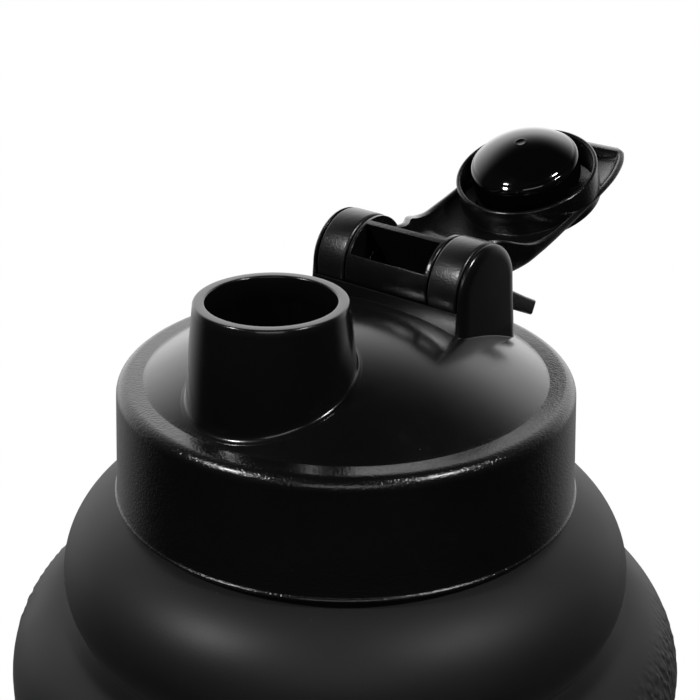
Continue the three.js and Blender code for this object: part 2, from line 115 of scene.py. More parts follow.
class BodySizes(PropertyGroup):
    """Sizes of the bottle under the lid."""

    radius: length("Radius", "Widest radius, at the shoulder and the heel", BODY_HIGH.x)
    height: length("Height", "From the base to the neck's rim", BODY_HIGH.z)
    wall: length("Wall", "Thickness of the blown wall", 0.0018)
    waist: length("Waist", "How far the waist is drawn in", 0.0055)
    neck: length("Neck", "Outer radius of the neck", 0.042)
    bulge_wide: length("Bulge width", "Half width of the collar bulge's ellipse", 0.0239)
    bulge_tall: length("Bulge height", "Half height of the collar bulge's ellipse", 0.0186)
    grip_depth: length("Grip depth", "Height of the pebbles on the side grips", 0.00035)
    surface: colour("Body colour", "Colour of the soft-touch coating", (0.0095, 0.0095, 0.0098))
    roughness: share("Body roughness", "Roughness of the soft-touch coating", 0.5)


class LidSizes(PropertyGroup):
    """Sizes of the screw lid and its spout."""

    flange: length("Flange height", "Top of the flange above the base", LID_LOW.z + 0.0247)
    skirt: length("Skirt radius", "Outer radius of the skirt's lower edge", LID_HIGH.x)
    skirt_drop: length("Skirt drop", "Skirt's lower edge below the flange", 0.0247)
    flare: length("Skirt flare", "How much wider the skirt is at its lower edge", 0.0011)
    edge: length("Flange edge", "Round of the flange's edge", 0.0025)
    width: length("Flange width", "From the dome's foot to the flange's edge", 0.0055)
    dome: length("Dome height", "Crown of the dome above the flange", 0.0118)
    spout_place: length("Spout place", "Spout's axis ahead of the lid's", 0.023)
    spout_top: length("Spout height", "Spout's rim above the flange", 0.0229)
    spout: length("Spout radius", "Outer radius at the spout's rim", 0.01487)
    spout_foot: length("Spout foot", "Outer radius at the flange's level", 0.0169)
    spout_bore: length("Spout bore", "Inner radius that the plug seals in", 0.0126)
    surface: colour("Lid colour", "Colour of the moulded lid", (0.0042, 0.0039, 0.0039))
    roughness: share("Lid roughness", "Roughness of the lid between its grains", 0.2)


class HingeSizes(PropertyGroup):
    """Sizes of the ears, the finger loop and the cap's barrel, which share one axis."""

    barrel: length("Barrel radius", "Radius of the cap's barrel", 0.0097)
    barrel_half: length("Barrel half width", "From the middle to the barrel's end", 0.0105)
    gap: length("Gap", "Between neighbouring pieces on the axis", 0.0003)
    hub: length("Hub radius", "Radius of the loop's hubs", 0.0099)
    hub_width: length("Hub width", "Width of each of the loop's hubs", 0.0072)
    axle: length("Axle radius", "Radius of the stub axles on the ears", 0.0025)
    ear: length("Ear radius", "Radius of each ear's round top", 0.00975)
    ear_thick: length("Ear thickness", "Thickness of each ear", 0.00135)
    loop_reach: length("Loop reach", "From the axis to the loop's far edge", 0.024)
    loop_bar: length("Loop bar", "Width of the loop's cross bar", 0.005)
    loop_leg: length("Loop leg", "Width of the loop's legs", 0.004)
    droop: FloatProperty(
        name="Droop", description="Loop below level", default=math.radians(27), subtype="ANGLE",
        unit="ROTATION",
    )
    surface: colour("Loop colour", "Colour of the grained loop", (0.0055, 0.005, 0.005))
    roughness: share("Loop roughness", "Roughness of the grained loop", 0.3)


class CapSizes(PropertyGroup):
    """Sizes of the flip cap and the plug under it."""

    ring: length("Ring bore", "Inner radius of the ring that goes over the spout", 0.0153)
    ring_wall: length("Ring wall", "Wall of the ring", 0.001)
    wall: length("Cap wall", "Side wall of the cap", 0.002)
    top_wall: length("Cap top wall", "Top wall of the cap", 0.0018)
    plug: length("Plug radius", "Radius of the plug's sealing band", 0.0124)
    boss: length("Boss radius", "Radius of the boss that holds the plug", 0.005)
    surface: colour("Cap colour", "Colour of the moulded cap", (0.0042, 0.0039, 0.0039))
    roughness: share("Cap roughness", "Roughness of the cap", 0.22)
    plug_surface: colour("Plug colour", "Colour of the glossy plug", (0.0022, 0.002, 0.002))
    plug_roughness: share("Plug roughness", "Roughness of the glossy plug", 0.06)


class StageSettings(PropertyGroup):
    """The floor, the lights and the camera."""

    floor: colour("Floor colour", "Colour of the pale floor", (0.86, 0.86, 0.86))
    softbox: power("Softbox", "Power of the large light over the floor", 30.0)
    fill: power("Fill", "Power of the soft front light", 1.2)
    kicker: power("Kicker", "Power of each small front light", 3.0)
    camera_distance: length("Camera distance", "From the camera to the lid", 0.31005)
    lens: FloatProperty(
        name="Lens", description="Focal length of the camera", default=78.09, subtype="DISTANCE_CAMERA"
    )


def millimetres(group):
    """The lengths of a group in millimetres, and its other values as they are."""
    values = {}
    for name, prop in group.bl_rna.properties.items():
        if name in ("name", "rna_type"):
            continue
        value = getattr(group, name)
        values[name] = value / MM if getattr(prop, "unit", "") == "LENGTH" else value
    return SimpleNamespace(**values)


# ---- Mesh tools: outlines and places are in millimetres ----
def add_mesh(name, vertices, faces, sharp=35.0):
    """A new object from vertices in millimetres, smooth except where it bends by more than the angle."""
    mesh = bpy.data.meshes.new(name)
    mesh.from_pydata([tuple(c * MM for c in v) for v in vertices], [], faces)
    piece = bpy.data.objects.new(name, mesh)
    bpy.context.scene.collection.objects.link(piece)
    tidy(piece, sharp)
    return piece


def tidy(piece, sharp=35.0):
    """Welds, turns faces outward and marks the sharp edges."""
    mesh = bmesh.new()
    mesh.from_mesh(piece.data)
    bmesh.ops.remove_doubles(mesh, verts=mesh.verts, dist=1e-7)
    bmesh.ops.dissolve_degenerate(mesh, edges=mesh.edges, dist=1e-8)
    bmesh.ops.recalc_face_normals(mesh, faces=mesh.faces)
    limit = math.radians(sharp)
    for face in mesh.faces:
        face.smooth = True
    for edge in mesh.edges:
        edge.smooth = len(edge.link_faces) == 2 and edge.calc_face_angle(0) < limit
    mesh.to_mesh(piece.data)
    mesh.free()


def arc(centre, wide, tall, start, end, steps):
    """Points round part of an ellipse, both ends included."""
    angles = [math.radians(start + (end - start) * i / steps) for i in range(steps + 1)]
    return [(centre[0] + wide * math.cos(a), centre[1] + tall * math.sin(a)) for a in angles]


def rounded(corners, radius, steps=4):
    """An outline with each corner turned into a short curve. A corner may carry a radius of its own."""
    points = []
    count = len(corners)
    for i, corner in enumerate(corners):
        here = Vector(corner[:2])
        size = corner[2] if len(corner) > 2 else radius
        before, after = Vector(corners[i - 1][:2]), Vector(corners[(i + 1) % count][:2])
        ends = []
        for other in (before, after):
            side = other - here
            ends.append(here + side.normalized() * min(size, side.length * 0.49))
        if size <= 0:
            points.append(tuple(here))
            continue
        for k in range(steps + 1):
            t = k / steps
            points.append(tuple(ends[0] * (1 - t) ** 2 + here * 2 * t * (1 - t) + ends[1] * t**2))
    return points


def turned(outline, angles, offset=(0.0, 0.0, 0.0)):
    """Vertices and faces of a closed [radius, height] outline turned about the vertical."""
    vertices, rings = [], []
    for r, z in outline:
        if r < 1e-6:
            rings.append([len(vertices)] * len(angles))
            vertices.append((offset[0], offset[1], z + offset[2]))
        else:
            rings.append(list(range(len(vertices), len(vertices) + len(angles))))
            for a in angles:
                vertices.append((offset[0] + r * math.cos(a), offset[1] + r * math.sin(a), z + offset[2]))
    return vertices, strips(rings, closed=outline[0][0] > 1e-6 or outline[-1][0] > 1e-6)


def strips(rings, closed=False):
    """Faces between neighbouring rings of vertex numbers."""
    faces = []
    pairs = list(zip(rings, rings[1:])) + ([(rings[-1], rings[0])] if closed else [])
    for low, high in pairs:
        for i in range(len(low)):
            j = (i + 1) % len(low)
            face = [low[i], low[j], high[j], high[i]]
            face = [v for k, v in enumerate(face) if v != face[k - 1]]
            if len(face) > 2:
                faces.append(face)
    return faces


def around(sides):
    """Evenly spaced angles round a circle."""
    return [2 * math.pi * i / sides for i in range(sides)]


def lathe(name, outline, sides=128, offset=(0.0, 0.0, 0.0), sharp=35.0):
    return add_mesh(name, *turned(outline, around(sides), offset), sharp)


def axis_lathe(name, outline, sides=96, sharp=35.0):
    """An [x, radius] outline turned about the X axis."""
    vertices, faces = turned([(r, x) for x, r in outline], around(sides))
    return add_mesh(name, [(z, x, y) for x, y, z in vertices], faces, sharp)


def loft(name, sections, sharp=35.0):
    """A closed skin over closed sections that have one number of points, with flat ends."""
    count = len(sections[0])
    vertices = [point for section in sections for point in section]
    rings = [list(range(i * count, (i + 1) * count)) for i in range(len(sections))]
    faces = strips(rings) + [rings[0][::-1], rings[-1]]
    return add_mesh(name, vertices, faces, sharp)


def cut(piece, tool, operation="DIFFERENCE", sharp=35.0):
    """Cuts a tool out of a piece, or joins it, and removes the tool."""
    change = piece.modifiers.new("Cut", "BOOLEAN")
    change.operation = operation
    change.solver = "EXACT"
    change.object = tool
    graph = bpy.context.evaluated_depsgraph_get()
    made = bpy.data.meshes.new_from_object(piece.evaluated_get(graph))
    piece.modifiers.clear()
    if not made.polygons:
        raise RuntimeError(f"{tool.name} left nothing of {piece.name}")
    piece.data = made
    bpy.data.objects.remove(tool)
    tidy(piece, sharp)
    return piece


def merge(name, parts):
    """One object from several, whose bodies may reach into each other."""
    mesh = bmesh.new()
    for part in parts:
        part.data.transform(part.matrix_world)
        mesh.from_mesh(part.data)
        bpy.data.objects.remove(part)
    whole = bpy.data.objects.new(name, bpy.data.meshes.new(name))
    mesh.to_mesh(whole.data)
    mesh.free()
    bpy.context.scene.collection.objects.link(whole)
    return whole


def mirrored(part):
    """A copy of a part across the YZ plane."""
    twin = bpy.data.objects.new(part.name + "_left", part.data.copy())
    bpy.context.scene.collection.objects.link(twin)
    twin.data.transform(Matrix.Scale(-1, 4, (1, 0, 0)))
    twin.data.flip_normals()
    return twin


def turn_about_hinge(piece, angle):
    """Takes a piece modelled about the origin to the hinge, turned about X."""
    piece.data.transform(Matrix.Translation(HINGE) @ Matrix.Rotation(angle, 4, "X"))
    return piece


def smooth_step(low, high, value):
    t = min(1.0, max(0.0, (value - low) / (high - low)))
    return t * t * (3 - 2 * t)


def settle(piece, node, body, material):
    """The piece stands for its CAD node, rides on its body and takes its finish."""
    piece.data.materials.clear()
    piece.data.materials.append(material)
    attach(piece, body)
    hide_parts(node)


# ---- Material tools ----
class Finish:
    """A material under construction. Each method adds one node and gives its output."""

    def __init__(self, name, roughness, **fixed):
        self.material = bpy.data.materials.new(name)
        self.material.use_nodes = True
        self.tree = self.material.node_tree
        self.shader = self.tree.nodes["Principled BSDF"]
        self.shader.inputs["Roughness"].default_value = roughness
        for socket, value in fixed.items():
            self.shader.inputs[socket.replace("_", " ")].default_value = value
        self.place = self.add("ShaderNodeTexCoord").outputs["Object"]

    def add(self, kind, settings=None, **sockets):
        node = self.tree.nodes.new(kind)
        for name, value in (settings or {}).items():
            setattr(node, name, value)
        for name, value in sockets.items():
            self.feed(node.inputs[name.replace("_", " ")], value)
        return node

    def feed(self, socket, value):
        if isinstance(value, bpy.types.NodeSocket):
            self.tree.links.new(value, socket)
        else:
            socket.default_value = value

    def noise(self, scale, detail=3.0, roughness=0.5, distortion=0.0):
        node = self.add(
            "ShaderNodeTexNoise", Vector=self.place, Scale=scale, Detail=detail, Roughness=roughness,
            Distortion=distortion,
        )
        return node.outputs["Fac"]

    def cells(self, scale, feature="F1"):
        node = self.add("ShaderNodeTexVoronoi", {"feature": feature}, Vector=self.place, Scale=scale)
        return node.outputs["Distance"]

    def ramp(self, value, low, high, start=0.0, end=1.0):
        node = self.add("ShaderNodeMapRange", {"clamp": True, "interpolation_type": "SMOOTHSTEP"})
        for i, item in enumerate((value, low, high, start, end)):
            self.feed(node.inputs[i], item)
        return node.outputs["Result"]

    def sum(self, operation, *values):
        node = self.add("ShaderNodeMath", {"operation": operation})
        for i, value in enumerate(values):
            self.feed(node.inputs[i], value)
        return node.outputs[0]

    def height(self):
        return self.add("ShaderNodeSeparateXYZ", Vector=self.place).outputs["Z"]

    def painted(self, attribute):
        return self.add("ShaderNodeAttribute", {"attribute_name": attribute}).outputs["Fac"]

    def mixed(self, share, first, second):
        node = self.add("ShaderNodeMix", {"data_type": "RGBA"})
        self.feed(node.inputs["Factor"], share)
        self.feed(node.inputs["A"], (*first, 1.0) if isinstance(first, (tuple, list)) else first)
        self.feed(node.inputs["B"], (*second, 1.0) if isinstance(second, (tuple, list)) else second)
        return node.outputs["Result"]

    def bump(self, height, distance, strength=1.0, normal=None):
        node = self.add("ShaderNodeBump", Height=height, Distance=distance, Strength=strength)
        if normal is not None:
            self.feed(node.inputs["Normal"], normal)
        return node.outputs["Normal"]

    def set(self, socket, value):
        self.feed(self.shader.inputs[socket], value)


def brighter(base, factor):
    return tuple(c * factor for c in base)


def soft_touch(sizes):
    """Rubbery matt coating with faint clouds, a few dust specks and pebbled grips."""
    base = tuple(sizes.surface)
    finish = Finish("soft_touch_body", sizes.roughness, IOR=1.38, Sheen_Weight=0.02, Sheen_Roughness=0.5)
    grip = finish.painted("grip")
    cloud = finish.noise(35, 4.0)
    tint = finish.mixed(cloud, brighter(base, 0.86), brighter(base, 1.18))
    speck = finish.ramp(finish.cells(260), 0.0, 0.07, 1.0, 0.0)
    rare = finish.ramp(finish.noise(55, 1.0), 0.66, 0.70)
    dust = finish.sum("MULTIPLY", speck, rare)
    tint = finish.mixed(finish.sum("MULTIPLY", dust, 0.5), tint, (0.32, 0.31, 0.3))
    finish.set("Base Color", tint)
    worn = finish.ramp(finish.noise(14, 5.0), 0.3, 0.75, sizes.roughness - 0.05, sizes.roughness + 0.07)
    finish.set("Roughness", finish.sum("ADD", worn, finish.sum("MULTIPLY", grip, 0.08)))
    velvet = finish.bump(finish.noise(3200, 2.0), 0.00004, 0.35)
    ripple = finish.bump(finish.noise(90, 2.0), 0.0003, 0.05, velvet)
    pebble = finish.sum("MULTIPLY", finish.ramp(finish.cells(620, "SMOOTH_F1"), 0.05, 0.75, 1.0, 0.0), grip)
    finish.set("Normal", finish.bump(pebble, 0.0005, 0.9, ripple))
    return finish.material


def moulded(name, base, roughness, grain, grain_size, smooth_above=None, fade=0.0015, edges=0.00022):
    """Black moulding with a leather grain that may stop at a height, fine waviness and rounded edges."""
    base = tuple(base)
    finish = Finish(name, roughness, IOR=1.49, Coat_Weight=0.3, Coat_Roughness=0.16)
    pits = finish.sum("MULTIPLY", finish.ramp(finish.cells(1.0 / grain_size, "SMOOTH_F1"), 0.05, 0.7), 0.6)
    fine = finish.sum("MULTIPLY", finish.noise(1.6 / grain_size, 3.0, 0.6), 0.4)
    skin = finish.sum("ADD", pits, fine)
    if smooth_above is None:
        grained = 1.0
    else:
        grained = finish.ramp(finish.height(), smooth_above - fade, smooth_above + fade, 1.0, 0.12)
    tint = finish.mixed(finish.noise(60, 4.0), brighter(base, 0.8), brighter(base, 1.25))
    speck = finish.ramp(finish.cells(420), 0.0, 0.06, 1.0, 0.0)
    dust = finish.sum("MULTIPLY", speck, finish.ramp(finish.noise(80, 1.0), 0.68, 0.72))
    finish.set("Base Color", finish.mixed(finish.sum("MULTIPLY", dust, 0.45), tint, (0.3, 0.3, 0.29)))
    blotch = finish.ramp(finish.noise(45, 5.0, 0.6), 0.3, 0.75, roughness - 0.035, roughness + 0.05)
    rub = finish.ramp(finish.noise(420, 4.0, 0.7), 0.55, 0.8, 0.0, 0.07)
    finish.set("Roughness", finish.sum("ADD", blotch, rub))
    rim = finish.add("ShaderNodeBevel", {"samples": 6}, Radius=edges).outputs["Normal"]
    wave = finish.bump(finish.noise(70, 2.0), 0.0004, 0.05, rim)
    finish.set("Normal", finish.bump(skin, grain, grained, wave))
    return finish.material


def glossy(name, base, roughness):
    """Polished black moulding with faint smears and a fine ripple."""
    base = tuple(base)
    finish = Finish(name, roughness, IOR=1.52, Coat_Weight=0.35, Coat_Roughness=0.04)
    finish.set("Base Color", finish.mixed(finish.noise(90, 3.0), brighter(base, 0.85), brighter(base, 1.2)))
    smear = finish.ramp(finish.noise(160, 5.0, 0.65, 1.5), 0.4, 0.8, roughness - 0.02, roughness + 0.05)
    finish.set("Roughness", smear)
    rim = finish.add("ShaderNodeBevel", {"samples": 6}, Radius=0.0002).outputs["Normal"]
    finish.set("Normal", finish.bump(finish.noise(240, 3.0), 0.0002, 0.05, rim))
    return finish.material


def silicone():
    """Matt silicone of the gasket, with a fine bloom."""
    finish = Finish("silicone_seal", 0.7, IOR=1.41, Sheen_Weight=0.1)
    finish.set("Base Color", finish.mixed(finish.noise(120, 4.0), (0.022, 0.022, 0.023), (0.04, 0.04, 0.041)))
    finish.set("Roughness", finish.ramp(finish.noise(500, 3.0), 0.3, 0.7, 0.62, 0.78))
    finish.set("Normal", finish.bump(finish.noise(1500, 2.0), 0.00005, 0.5))
    return finish.material


def pale_floor(tone):
    """Plain pale matt floor with a barely visible mottle."""
    base = tuple(tone)
    finish = Finish("pale_floor", 0.85, IOR=1.3)
    finish.set("Base Color", finish.mixed(finish.noise(6, 3.0), brighter(base, 0.985), brighter(base, 1.01)))
    finish.set("Roughness", finish.ramp(finish.noise(9, 3.0), 0.3, 0.7, 0.8, 0.92))
    return finish.material


# ---- Screw thread ----
def thread_ridge(name, root, crest, lowest, pitch=6.0, turns=1.5, half_root=1.2, half_crest=0.6, steps=150):
    """A ridge wound on a right-handed helix, which dies away at both ends."""
    sections = []
    for i in range(steps + 1):
        angle = 2 * math.pi * turns * i / steps
        z = lowest + pitch * turns * i / steps
        full = smooth_step(0, 6, i) * smooth_step(0, 6, steps - i)
        tip = root + (crest - root) * max(full, 0.05)
        profile = ((root, -half_root), (tip, -half_crest), (tip, half_crest), (root, half_root))
        sections.append([(r * math.cos(angle), r * math.sin(angle), z + h) for r, h in profile])
    return loft(name, sections)


# ---- Bottle ----
def body_outline(sizes, flange, inset):
    """Outside or inside of the blown wall, from the middle of the base up to the neck, in millimetres."""
    centre = sizes.neck - 5.8
    wide, tall = sizes.bulge_wide, sizes.bulge_tall
    skirt_edge = flange - 24.7
    reach = max(0.0, SKIRT_BORE - centre) / wide
    bulge_z = skirt_edge - 0.7 - tall * math.sqrt(1 - reach**2)
    groove = 6.9
    groove_angle = math.degrees(math.asin(groove / tall))
    groove_r = centre + wide * math.cos(math.radians(groove_angle))
    shoulder_tall = 15.2
    shoulder_r, shoulder_z = groove_r + 2.1, bulge_z - groove - 1.3 - shoulder_tall
    heel, heel_z = 11.5, 13.0
    foot_outer = sizes.radius - heel
    foot_inner = foot_outer - 10
    pad, pad_drop = 9 + inset / 2, 2.2
    ledge = pad_drop + inset
    foot = [(foot_inner - 3, ledge), (foot_inner - 2.2, ledge), (foot_inner, inset), (foot_inner + 2, inset)]
    waist_top = shoulder_z - 1.5
    waist = []
    for i in range(49):
        t = i / 48
        drawn_in = sizes.waist * math.sin(math.pi * t) ** 2
        waist.append((sizes.radius - inset - drawn_in, heel_z + (waist_top - heel_z) * t))
    neck = sizes.neck if inset == 0 else sizes.neck - NECK_WALL
    neck_angle = math.degrees(math.acos((neck - centre) / (wide - inset)))
    shoulder_wide = sizes.radius - shoulder_r - inset
    crease_r, crease_z = groove_r - inset, bulge_z - groove
    return [
        (0, inset),
        *rounded([(pad, inset), (pad + 2.2, ledge)], 1.0)[1:-1],
        *rounded(foot, 0.8)[6:-5],
        *arc((foot_outer, heel_z), heel - inset, heel_z - inset, -90, -4, 14),
        *waist,
        *arc((shoulder_r, shoulder_z), shoulder_wide, shoulder_tall - inset, 4, 88, 16),
        (crease_r + 0.5, crease_z - 1.25),
        (crease_r - 0.25, crease_z - 1.0),
        *arc((centre, bulge_z), wide - inset, tall - inset, -groove_angle - inset * 2, neck_angle, 34),
    ]


def grip_share(angle, z):
    """1 on the two side grips, which narrow as they run up over the shoulder, and 0 between them."""
    away = abs(math.degrees(angle))
    side = min(away, 180 - away)
    limit = 58 - 16 * smooth_step(146, 168, z)
    within = 1 - smooth_step(limit - 5, limit + 2, side)
    return within * smooth_step(16, 21, z) * (1 - smooth_step(173, 180, z))


class SHAKER_OT_body(Operator):
    """Builds the blown bottle with its pebbled side grips and threaded neck"""

    bl_idname = "shaker.build_body"
    bl_label = "Bottle"

    def execute(self, context):
        sizes = millimetres(context.scene.shaker_body)
        lid = millimetres(context.scene.shaker_lid)
        rim, neck = sizes.height, sizes.neck
        bore = neck - NECK_WALL
        lip = rounded([(neck, rim - 3), (neck, rim), (bore, rim), (bore, rim - 3)], 0.8)[5:-5]
        outline = [
            *body_outline(sizes, lid.flange, 0),
            *lip,
            *body_outline(sizes, lid.flange, sizes.wall)[::-1],
        ]
        outer_zone = sizes.radius - 10
        fine = []
        for (r0, z0), (r1, z1) in zip(outline, outline[1:]):
            parts = max(1, round(abs(z1 - z0))) if min(r0, r1) > outer_zone else 1
            fine += [(r0 + (r1 - r0) * k / parts, z0 + (z1 - z0) * k / parts) for k in range(parts)]
        fine.append(outline[-1])
        angles = around(288)
        body = add_mesh("bottle", *turned(fine, angles), 28)
        inner = sizes.radius - 8
        grip = body.data.attributes.new("grip", "FLOAT", "POINT")
        normals = [vertex.normal.copy() for vertex in body.data.vertices]
        shares, places = [], []
        for vertex, normal in zip(body.data.vertices, normals):
            x, y, z = (c / MM for c in vertex.co)
            outside = math.hypot(x, y) > inner and normal.x * x + normal.y * y > 0
            pebbled = grip_share(math.atan2(y, x), z) if outside else 0.0
            jog = math.sin(5.2 * x + 3.1 * z) * math.sin(4.7 * y - 4.3 * z)
            shares.append(pebbled)
            places += list(vertex.co + normal * (sizes.grip_depth * MM * 0.6 * pebbled * jog))
        grip.data.foreach_set("value", shares)
        body.data.vertices.foreach_set("co", places)
        ridge = thread_ridge("neck_thread", neck - 0.4, neck + 1.9, rim - THREAD_LOW)
        whole = merge("blown_bottle", [body, ridge])
        settle(whole, "bottle_body", "bottle", soft_touch(sizes))
        return {"FINISHED"}


# ---- Lid ----
def dome_height(lid, x, y):
    """Height of the dome above the flange, in millimetres."""
    dome_r = lid.skirt - lid.flare - lid.width
    sphere = (dome_r**2 + lid.dome**2) / (2 * lid.dome)
    return math.sqrt(max(0.0, sphere**2 - x * x - y * y)) + lid.dome - sphere


def spout_radius(lid, z):
    """Outer radius of the spout at a height above the flange."""
    t = max(0.0, min(1.0, z / lid.spout_top))
    return lid.spout + (lid.spout_foot - lid.spout) * (1 - t**1.4)


def lid_cover(lid):
    """Dome, flange and skirt with the collar inside, as one turned shell."""
    flange_r = lid.skirt - lid.flare
    dome_r = flange_r - lid.width
    sphere = (dome_r**2 + lid.dome**2) / (2 * lid.dome)
    centre = (0.0, lid.dome - sphere)
    foot = math.degrees(math.acos(dome_r / sphere))
    ceiling = sphere - LID_TOP_WALL
    collar, bore, collar_low, seat = 38.6, 37.3, -9.0, -2.3
    inner = math.degrees(math.acos(bore / ceiling))
    skirt, low = lid.skirt, -lid.skirt_drop
    outline = [
        *arc(centre, sphere, sphere, 90, foot, 44),
        *arc((flange_r - lid.edge, -lid.edge), lid.edge, lid.edge, 90, 0, 10),
        (skirt - 0.12, low + 1.3),
        (skirt + 0.02, low + 0.85),
        (skirt + 0.22, low + 0.7),
        *arc((skirt - 0.05, low + 0.4), 0.4, 0.4, 40, -90, 5),
        (SKIRT_BORE + 0.4, low),
        (SKIRT_BORE, low + 0.4),
        (SKIRT_BORE, seat),
        (collar, seat),
        (collar, collar_low + 0.2),
        (collar - 0.3, collar_low),
        (bore, collar_low),
        *arc(centre, ceiling, ceiling, inner, 90, 20),
    ]
    return lathe("lid_cover", outline, 256, (0, 0, lid.flange), 24)


def spout_tube(lid):
    """The drinking spout: tapered wall with a small fillet into the dome, a round rim and an open bore."""
    fillet = 0.9
    bore = lid.spout_bore
    lip = 0.4
    top = lid.spout_top
    sections = []
    for angle in around(160):
        c, s = math.cos(angle), math.sin(angle)
        foot = 5.0
        for _ in range(6):
            r = spout_radius(lid, foot)
            foot = dome_height(lid, r * c, r * s - lid.spout_place)
        r = spout_radius(lid, foot)
        outer = r + fillet
        up = Vector((spout_radius(lid, foot + fillet), foot + fillet))
        out = Vector((outer, dome_height(lid, outer * c, outer * s - lid.spout_place)))
        corner = Vector((r, foot))
        profile = [(outer, out.y - 1.6), tuple(out)]
        for k in range(1, 7):
            t = k / 6
            profile.append(tuple(out * (1 - t) ** 2 + corner * 2 * t * (1 - t) + up * t**2))
        for k in range(1, 17):
            z = up.y + (top - lip - up.y) * k / 16
            profile.append((spout_radius(lid, z), z))
        rim = spout_radius(lid, top)
        profile += arc((rim - lip, top - lip), lip, lip, 12, 90, 5)
        profile += arc((bore + lip, top - lip), lip, lip, 90, 172, 5)
        profile += [(bore, top - 1.4), (bore, top - 4.4), (bore + 0.35, top - 5.0)]
        profile += [(bore + 1.8, 1.0), (bore + 1.9, -2.0)]
        sections.append([(p * c, p * s - lid.spout_place, z + lid.flange) for p, z in profile])
    count = len(sections[0])
    vertices = [point for section in sections for point in section]
    faces = []
    for i in range(len(sections)):
        j = (i + 1) % len(sections)
        for k in range(count):
            m = (k + 1) % count
            faces.append([i * count + k, j * count + k, j * count + m, i * count + m])
    return add_mesh("spout", vertices, faces, 40)


def ear_place(hinge):
    """Where the inner face of an ear stands along the axis."""
    return hinge.barrel_half + 2 * hinge.gap + hinge.hub_width


def above_dome(lid, x, y, z):
    """A point given from the hinge axis, never lower than just under the dome's skin."""
    axis_y, axis_z = HINGE.y / MM, HINGE.z / MM
    floor = dome_height(lid, x, y + axis_y) + lid.flange - axis_z - 1.3
    return (x, y + axis_y, max(z, floor) + axis_z)


def ear(lid, hinge):
    """One ear: an arch with a softly rounded edge on its outer face."""
    ear_in = ear_place(hinge)
    ear_out = ear_in + hinge.ear_thick
    foot = -hinge.ear - 5.35
    sections = []
    steps = [(ear_in, 0.25), (ear_in + 0.2, 0.02)]
    across, inward = hinge.ear_thick * 0.85, 2.6
    for k in range(9):
        t = math.radians(90 * k / 8)
        steps.append((ear_out - across * (1 - math.sin(t)), inward * (1 - math.cos(t))))
    sides = [(0.95, foot), (0.62, foot * 0.6), (0.38, foot * 0.25)]
    for x, inset in steps:
        r = hinge.ear - inset
        points = [(-hinge.ear - flare + inset, z) for flare, z in sides]
        points += [(-p, q) for p, q in arc((0, 0), r + 0.2, r, 0, 180, 44)]
        points += [(hinge.ear + flare - inset, z) for flare, z in sides[::-1]]
        spread = 0 if x < ear_in + 0.3 else 0.7
        sections.append([above_dome(lid, x + spread * smooth_step(2, foot, z), y, z) for y, z in points])
    return loft("ear", sections, 40)


def saddle(hinge):
    """The trough that the hubs and the barrel turn in, with a front wall flush with the bands above it."""
    end_x = ear_place(hinge) + 0.3
    trough = hinge.hub + BORE_PLAY
    front = hinge.hub + 0.12
    lip = math.degrees(math.acos(front / trough)) + 1.5
    rear, rear_drop, foot, floor = 9.5, 9.0, -14.0, 1.8
    end = 360 - math.degrees(math.asin(rear_drop / trough))
    outline = [
        (-front - 0.35, foot),
        (-front - 0.02, foot / 2),
        (-front, -trough * math.sin(math.radians(lip)) - 0.25),
        *arc((0, 0), trough, trough, 180 + lip, end, 30),
        *rounded([(trough * 0.5, -rear_drop), (rear, -rear_drop), (rear, foot)], 0.5, 3)[4:-4],
        (rear, foot),
        *[(p, q - floor) for p, q in arc((0, 0), trough, trough, end, 220, 10)],
    ]
    sections = [[(x, y + HINGE.y / MM, z + HINGE.z / MM) for y, z in outline] for x in (-end_x, end_x)]
    return loft("saddle", sections, 30)


class SHAKER_OT_lid(Operator):
    """Builds the screw lid with its spout, hinge ears, saddle and stub axles"""

    bl_idname = "shaker.build_lid"
    bl_label = "Screw lid"

    def execute(self, context):
        lid = millimetres(context.scene.shaker_lid)
        hinge = millimetres(context.scene.shaker_hinge)
        cover = lid_cover(lid)
        reach = lid.spout_bore + 1.95
        way = [(0, -6), (reach, -6), (reach, lid.spout_top + 4), (0, lid.spout_top + 4)]
        cut(cover, lathe("spout_way", way, 96, (0, -lid.spout_place, lid.flange)), sharp=24)
        trough = hinge.hub + BORE_PLAY
        ear_in = ear_place(hinge)
        bar = axis_lathe("trough_way", [(-ear_in, 0), (-ear_in, trough), (ear_in, trough), (ear_in, 0)], 120)
        cut(cover, turn_about_hinge(bar, 0), sharp=24)
        right = ear(lid, hinge)
        tip, root = hinge.barrel_half - 1.2, ear_in + 0.4
        pin = [(tip, 0), (tip, hinge.axle - 0.2), (tip + 0.2, hinge.axle), (root, hinge.axle), (root, 0)]
        axle = turn_about_hinge(axis_lathe("axle", pin, 40), 0)
        neck_rim = lid.flange - 4.6
        ridge = thread_ridge("lid_thread", SKIRT_BORE + 0.3, 42.6, neck_rim - THREAD_LOW - 2.1)
        parts = [cover, spout_tube(lid), saddle(hinge), right, mirrored(right), axle, mirrored(axle), ridge]
        whole = merge("screw_lid", parts)
        grain_top = (lid.flange + 0.35) * MM
        finish = moulded("moulded_lid", lid.surface, lid.roughness, 0.000065, 0.0004, grain_top, 0.0003)
        settle(whole, "lid_shell", "lid", finish)
        return {"FINISHED"}


class SHAKER_OT_seal(Operator):
    """Finishes the gasket and the mixing grid inside the lid"""

    bl_idname = "shaker.finish_seal"
    bl_label = "Gasket and grid"

    def execute(self, context):
        gasket, grid = frame["nodes"]["lid_gasket"], frame["nodes"]["mixing_grid"]
        lid = millimetres(context.scene.shaker_lid)
        finish = moulded("satin_grid", brighter(lid.surface, 1.8), 0.32, 0.00003, 0.0006)
        for node, material in ((gasket, silicone()), (grid, finish)):
            node.data.materials.clear()
            node.data.materials.append(material)
        return {"FINISHED"}


